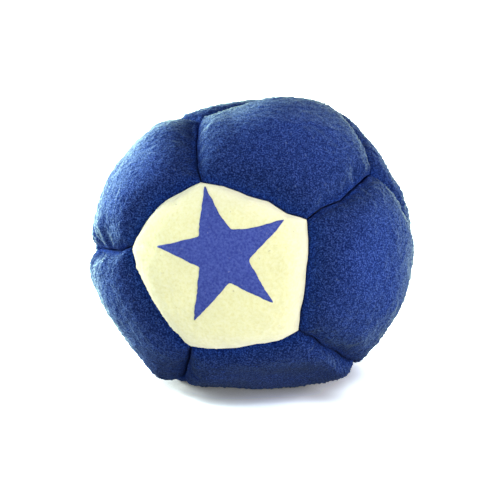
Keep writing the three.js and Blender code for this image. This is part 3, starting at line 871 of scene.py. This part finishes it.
def blue_suede():
    """Dark blue nap, with painted shade darkening it in and beside the seams, and a painted sheen: a paler colour
    mixed in towards grazing angles.
    """
    nodes = Nodes("blue_suede")
    tufts = nodes.ramp(nodes.cells(BLUE_TUFT), [(0.05, grey(0.9)), (0.6, grey(0.3))])
    flecks = nodes.mix(0.25, nodes.noise(BLUE_GRAIN, 2, 0.65), tufts)
    clouds = nodes.noise(BLUE_CLOUD, 3, 0.55)
    body = nodes.ramp(flecks, [(0.4, linear(18, 38, 104)), (0.5, linear(42, 69, 147)), (0.61, linear(77, 106, 200))])
    shade = nodes.ramp(clouds, [(0.3, grey(0.9)), (0.7, grey(1.08))])
    colour = nodes.mix(1.0, body, shade, "MULTIPLY")
    specks = nodes.ramp(nodes.noise(BLUE_SPECK, 1, 0.4), [(0.7, grey(0)), (0.8, grey(0.35))])
    colour = nodes.mix(specks, colour, linear(120, 145, 200))
    seam = nodes.node("ShaderNodeAttribute", attribute_name="seam_share").outputs["Fac"]
    # painted shade: darkens and tints the colour in and beside the seams, where shade falls
    painted_seam_shade = nodes.ramp(
        seam,
        [
            (0.0, (0.34, 0.54, 0.68)),
            (0.1, (0.52, 0.58, 0.57)),
            (0.25, (0.64, 0.62, 0.57)),
            (0.6, (0.78, 0.77, 0.75)),
            (1.0, grey(0.9)),
        ],
    )
    colour = nodes.mix(1.0, colour, painted_seam_shade, "MULTIPLY")
    bump = nodes.node("ShaderNodeBump", {"Height": flecks, "Strength": 1.0, "Distance": 0.0003}).outputs["Normal"]
    skin = nodes.node(
        "ShaderNodeBsdfPrincipled",
        {
            "Base Color": colour,
            "Roughness": 0.95,
            "Specular IOR Level": 0.0,
            "Sheen Weight": 0.08,
            "Sheen Roughness": 0.5,
            "Sheen Tint": (0.45, 0.6, 1, 1),
            "Normal": bump,
        },
    )
    # painted sheen: a paler diffuse colour, lit by the lamps, mixed in more towards grazing angles and made grainy
    # by the flecks
    grazing = nodes.node("ShaderNodeLayerWeight", {"Blend": 0.5}).outputs["Facing"]
    painted_sheen_share = nodes.ramp(grazing, [(0.2, grey(0)), (0.5, grey(0.09)), (0.75, grey(0.29)), (1.0, grey(1))])
    grain = nodes.ramp(flecks, [(0.4, grey(0.4)), (0.6, grey(1.5))])
    painted_sheen_share = nodes.mix(1.0, painted_sheen_share, grain, "MULTIPLY")
    # painted shade: the painted sheen is cut away in the seams
    seam_sheen_cut = nodes.ramp(seam, [(0.02, grey(0)), (0.2, grey(1))])
    painted_sheen_share = nodes.mix(1.0, painted_sheen_share, seam_sheen_cut, "MULTIPLY")
    # painted shade: the painted sheen is dimmed where ambient occlusion finds other surfaces near
    nearby = nodes.node("ShaderNodeAmbientOcclusion", {"Distance": SHELTER_REACH}, samples=8).outputs["AO"]
    painted_shelter_shade = nodes.ramp(nearby, [(0.5, grey(0.1)), (0.9, grey(1))])
    painted_sheen_share = nodes.mix(1.0, painted_sheen_share, painted_shelter_shade, "MULTIPLY")
    painted_sheen_colour = nodes.ramp(grazing, [(0.35, (0.1, 0.24, 0.8)), (0.6, (0.3, 0.52, 0.86)), (1.0, (0.52, 0.76, 0.72))])
    painted_sheen_tips = nodes.node("ShaderNodeBsdfDiffuse", {"Color": painted_sheen_colour, "Normal": bump})
    sheen = nodes.node("ShaderNodeMixShader", {0: painted_sheen_share, 1: skin.outputs[0], 2: painted_sheen_tips.outputs[0]})
    return nodes.surface(sheen.outputs[0])


def pale_suede():
    """Pale yellow nap, with a painted highlight that whitens it along its folded edges."""
    nodes = Nodes("pale_suede")
    flecks = nodes.noise(PALE_GRAIN, 3, 0.6)
    clouds = nodes.noise(PALE_CLOUD, 3, 0.5)
    body = nodes.ramp(
        flecks, [(0.3, linear(242, 240, 190)), (0.5, linear(249, 249, 208)), (0.7, linear(253, 253, 222))]
    )
    shade = nodes.ramp(clouds, [(0.3, grey(0.95)), (0.7, grey(1.0))])
    colour = nodes.mix(1.0, body, shade, "MULTIPLY")
    specks = nodes.ramp(nodes.noise(PALE_SPECK, 2, 0.5), [(0.72, grey(0)), (0.76, grey(0.35))])
    colour = nodes.mix(specks, colour, linear(150, 140, 120))
    seam = nodes.node("ShaderNodeAttribute", attribute_name="seam_share").outputs["Fac"]
    # painted highlight: the colour is whitened towards the seams, where the edges catch the light
    rim = nodes.ramp(seam, [(0.02, grey(0.6)), (0.2, grey(0.25)), (0.45, grey(0))])
    colour = nodes.mix(rim, colour, linear(253, 253, 240))
    bump = nodes.node("ShaderNodeBump", {"Height": flecks, "Strength": 0.3, "Distance": 0.0002})
    shader = nodes.node(
        "ShaderNodeBsdfPrincipled",
        {
            "Base Color": colour,
            "Roughness": 0.95,
            "Diffuse Roughness": 1.0,
            "Specular IOR Level": 0.2,
            "Sheen Weight": 0.1,
            "Sheen Roughness": 0.5,
            "Normal": bump.outputs["Normal"],
        },
    )
    return nodes.surface(shader.outputs["BSDF"])


def star_ink():
    """Matt violet-blue ink, worn in a few specks."""
    nodes = Nodes("star_ink")
    flecks = nodes.noise(INK_GRAIN, 3, 0.6)
    body = nodes.ramp(flecks, [(0.35, linear(58, 72, 157)), (0.5, linear(68, 85, 169)), (0.65, linear(82, 99, 181))])
    bare = nodes.ramp(nodes.noise(INK_WEAR, 2, 0.6), [(0.68, grey(0)), (0.76, grey(0.35))])
    colour = nodes.mix(bare, body, linear(170, 175, 200))
    bump = nodes.node("ShaderNodeBump", {"Height": flecks, "Strength": 0.3, "Distance": 0.0002})
    shader = nodes.node(
        "ShaderNodeBsdfPrincipled",
        {"Base Color": colour, "Roughness": 0.9, "Specular IOR Level": 0.2, "Normal": bump.outputs["Normal"]},
    )
    return nodes.surface(shader.outputs["BSDF"])


def thread_fibre():
    """Dark blue sewing thread, twisted from strands."""
    nodes = Nodes("thread_fibre")
    strands = nodes.noise(THREAD_STRAND, 2, 0.5)
    colour = nodes.ramp(strands, [(0.35, linear(20, 32, 70)), (0.65, linear(38, 56, 108))])
    shader = nodes.node("ShaderNodeBsdfPrincipled", {"Base Color": colour, "Roughness": 0.6})
    return nodes.surface(shader.outputs["BSDF"])


def pellet_plastic():
    """Off-white plastic pellets, packed together, with painted shade darkening each towards its edge."""
    nodes = Nodes("pellet_plastic")
    cells = nodes.cells(PELLET)
    # painted shade: each pellet's colour darkens from its middle towards its edge, where it meets its neighbours
    colour = nodes.ramp(cells, [(0.0, linear(240, 238, 230)), (0.7, linear(190, 186, 176))])
    bump = nodes.node("ShaderNodeBump", {"Height": cells, "Strength": 1.0, "Distance": 0.001}, invert=True)
    shader = nodes.node(
        "ShaderNodeBsdfPrincipled", {"Base Color": colour, "Roughness": 0.45, "Normal": bump.outputs["Normal"]}
    )
    return nodes.surface(shader.outputs["BSDF"])


def paint(piece, material):
    """Give a piece its one material."""
    piece.data.materials.clear()
    piece.data.materials.append(material)


# Camera, light and floor


def make_camera():
    """The photo's view of the bag."""
    target = Vector((BAG_PLACE[0] * MM, BAG_PLACE[1] * MM, STAND_SHARE * BAG_RADIUS * MM))
    lift = math.radians(CAMERA_ELEVATION)
    data = bpy.data.cameras.new("camera")
    data.lens = CAMERA_LENS
    data.shift_x, data.shift_y = CAMERA_SHIFT
    data.clip_start = 0.01
    camera = bpy.data.objects.new("camera", data)
    camera.location = target + CAMERA_DISTANCE * Vector((0, -math.cos(lift), math.sin(lift)))
    camera.rotation_euler = (math.pi / 2 - lift, 0, 0)
    bpy.context.scene.collection.objects.link(camera)
    bpy.context.scene.camera = camera


def make_lamp(name, place, size, power, colour):
    """A soft square lamp that points at the bag."""
    data = bpy.data.lights.new(name, "AREA")
    data.size, data.energy, data.color = size, power, colour
    lamp = bpy.data.objects.new(name, data)
    lamp.location = place
    aim = Vector(LAMP_AIM) - Vector(place)
    lamp.rotation_euler = aim.to_track_quat("-Z", "Y").to_euler()
    bpy.context.scene.collection.objects.link(lamp)


def make_world():
    """A faint even light, which is plain white where it is seen."""
    world = bpy.data.worlds.new("studio")
    world.use_nodes = True
    nodes, links = world.node_tree.nodes, world.node_tree.links
    nodes.clear()
    output = nodes.new("ShaderNodeOutputWorld")
    path = nodes.new("ShaderNodeLightPath")
    seen, glossy = nodes.new("ShaderNodeMath"), nodes.new("ShaderNodeMath")
    seen.operation = glossy.operation = "MAXIMUM"
    links.new(path.outputs["Is Camera Ray"], seen.inputs[0])
    links.new(path.outputs["Is Glossy Ray"], glossy.inputs[0])
    links.new(path.outputs["Is Transmission Ray"], glossy.inputs[1])
    links.new(glossy.outputs[0], seen.inputs[1])
    lit, white = nodes.new("ShaderNodeBackground"), nodes.new("ShaderNodeBackground")
    lit.inputs["Color"].default_value = WORLD_COLOUR
    lit.inputs["Strength"].default_value = WORLD_STRENGTH
    white.inputs["Strength"].default_value = 1
    white.inputs["Color"].default_value = (1, 1, 1, 1)
    mixed = nodes.new("ShaderNodeMixShader")
    links.new(seen.outputs[0], mixed.inputs[0])
    links.new(lit.outputs[0], mixed.inputs[1])
    links.new(white.outputs[0], mixed.inputs[2])
    links.new(mixed.outputs[0], output.inputs["Surface"])
    bpy.context.scene.world = world


def make_floor():
    """A white floor that shows the bag's shadow, darkened further by a painted contact shadow where the bag is near,
    and lights the bag from below a little.
    """
    half = FLOOR_HALF_SIDE / MM
    points = [[x * half, y * half, -FLOOR_DROP] for x, y in ((-1, -1), (1, -1), (1, 1), (-1, 1))]
    floor = make_object("floor", np.array(points), [(0, 1, 2, 3)])
    nodes = Nodes("floor_white")
    diffuse = nodes.node("ShaderNodeBsdfDiffuse", {"Color": (*grey(FLOOR_REFLECTANCE), 1)}).outputs[0]
    path = nodes.node("ShaderNodeLightPath")
    # painted shadow: seen from the camera, the floor's brightness is darkened and tinted blue where ambient
    # occlusion finds the bag near
    contact = nodes.node("ShaderNodeAmbientOcclusion", {"Distance": CONTACT_REACH}, samples=12).outputs["AO"]
    shade = nodes.ramp(contact, [(0.0, (0.14, 0.15, 0.16)), (0.45, (0.88, 0.94, 1.04)), (0.88, (2.3, 2.6, 2.8))])
    bright = nodes.node("ShaderNodeBsdfDiffuse", {"Color": shade}).outputs[0]
    glow = nodes.node("ShaderNodeEmission", {"Color": (1, 1, 1, 1), "Strength": FLOOR_GLOW}).outputs[0]
    lit = nodes.node("ShaderNodeAddShader", {0: bright, 1: glow}).outputs[0]
    more = nodes.node("ShaderNodeMixShader", {0: path.outputs["Is Camera Ray"], 2: lit}).outputs[0]
    both = nodes.node("ShaderNodeAddShader", {0: diffuse, 1: more})
    paint(floor, nodes.surface(both.outputs[0]))


# Make it all

SKINS = simulated_skins()

blue, pale = blue_suede(), pale_suede()
for number, (name, facing) in enumerate(PANELS):
    piece, outer_points, outer_quads = make_panel(name, facing, number)
    if name == "star":
        paint(piece, pale)
        paint(make_star(outer_points, outer_quads), star_ink())
    else:
        paint(piece, blue)

thread = thread_fibre()
for name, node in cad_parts.items():
    if name.startswith("thread_"):
        paint(node, thread)
paint(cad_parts["pellet_fill"], pellet_plastic())

make_camera()
make_world()
make_floor()
for lamp in LAMPS:
    make_lamp(*lamp)

bpy.context.scene.view_settings.view_transform = "Standard"
bpy.context.view_layer.update()
